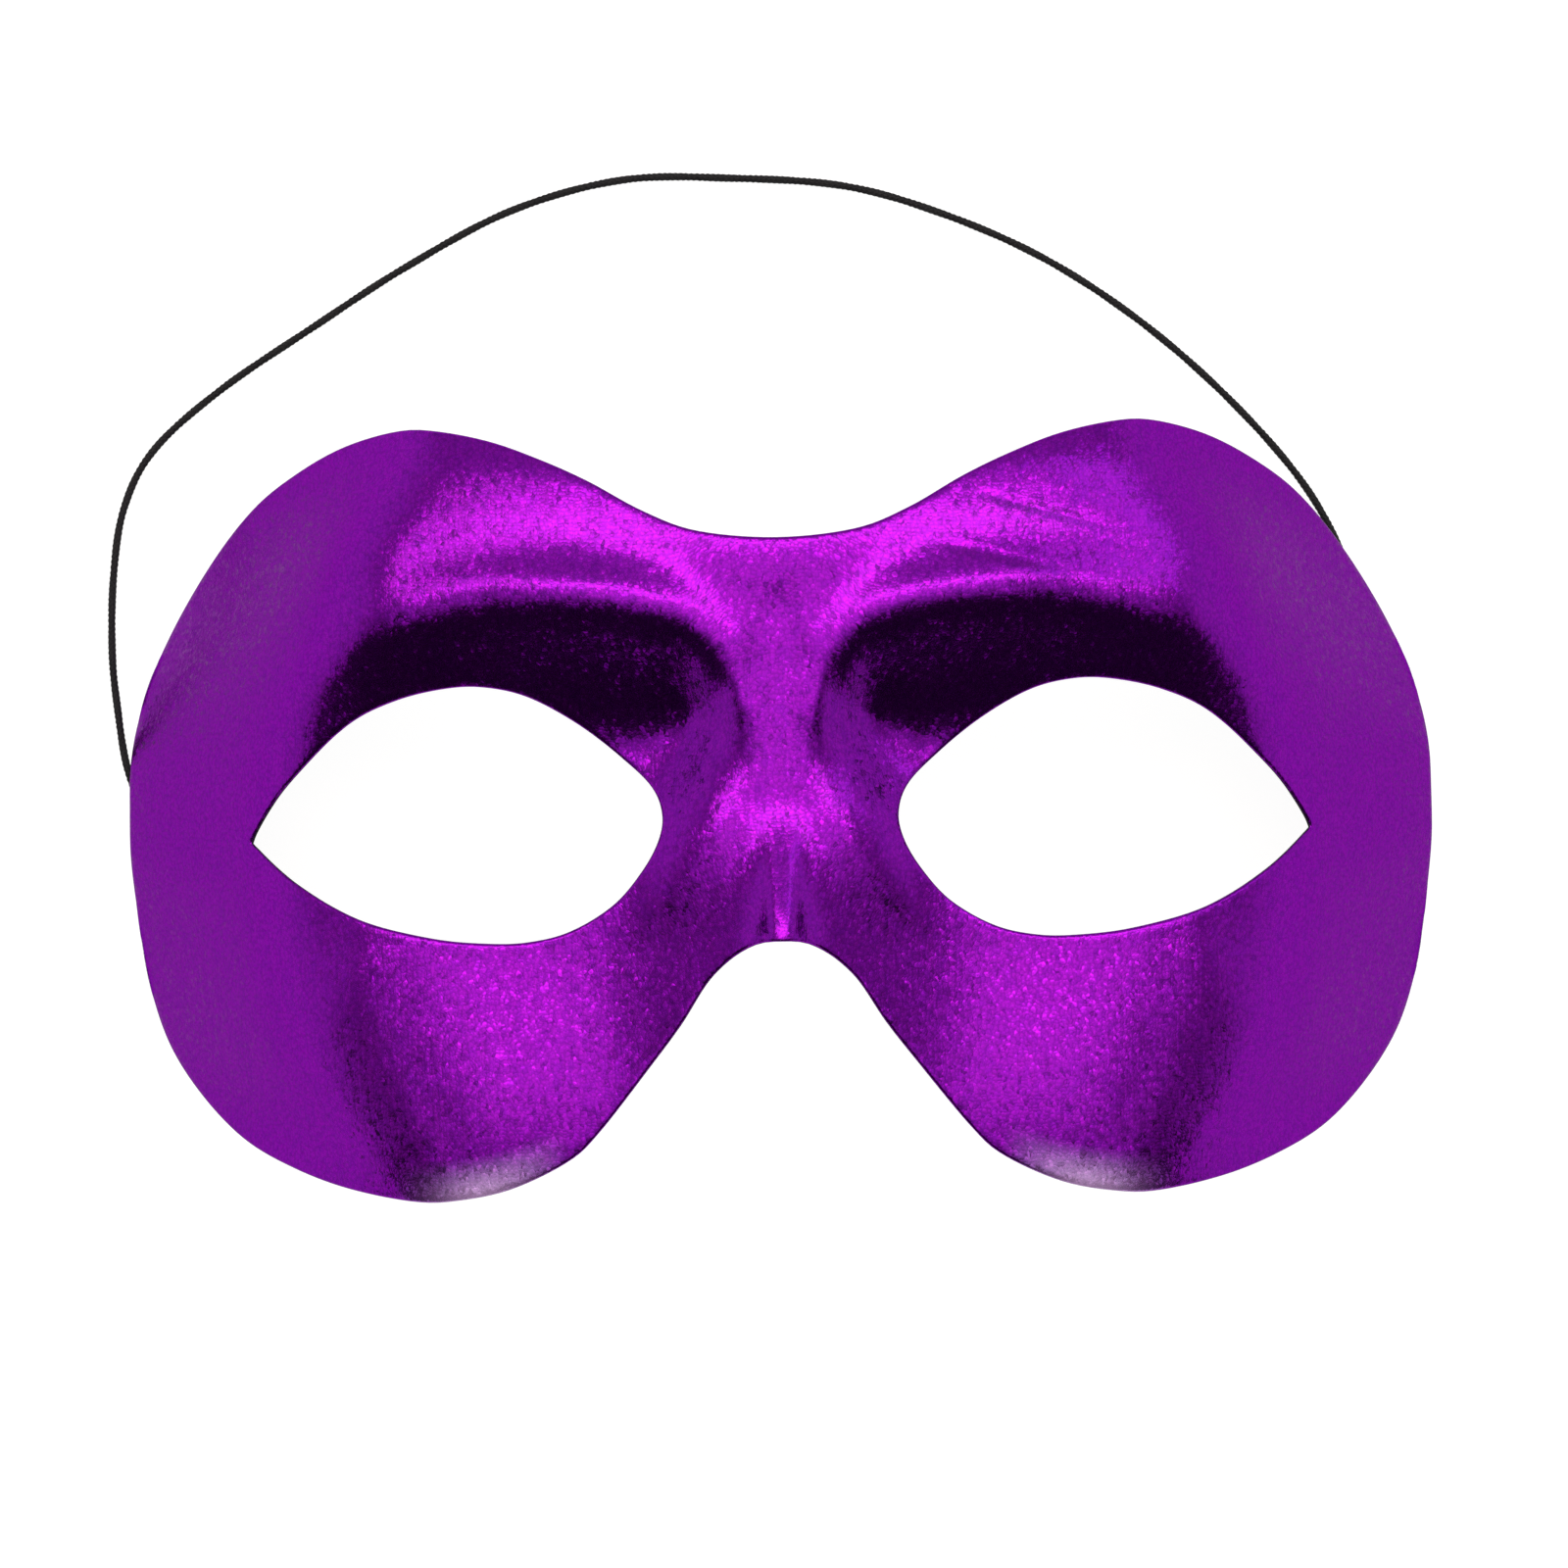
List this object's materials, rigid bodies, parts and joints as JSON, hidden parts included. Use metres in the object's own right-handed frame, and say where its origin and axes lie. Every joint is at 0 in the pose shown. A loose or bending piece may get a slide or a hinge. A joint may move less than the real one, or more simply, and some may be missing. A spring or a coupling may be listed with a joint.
{
  "type": "venetian half mask",
  "caption": "Moulded cloth half mask with almond eye holes, brow roll, nose ridge and notch, and a loop of thin elastic between its sides.",
  "frame": {"origin": "bottom centre of the mask, on the surface that its rear rims rest on", "axes": "+X to the right as seen from the front, +Y towards the forehead, +Z out of the face"},
  "size_m": [0.1779, 0.1349, 0.06],
  "materials": {
    "foil_cloth": "metallic purple foil-coated woven cloth, pressed onto a stiff felt form",
    "elastic": "matt black braided round elastic",
    "backing_felt": "matt black felt"
  },
  "bodies": {
    "root": {"mask_shell": "foil_cloth", "elastic_cord": "elastic", "elastic_tab_left": "backing_felt", "elastic_tab_right": "backing_felt"}
  },
  "joints": []
}
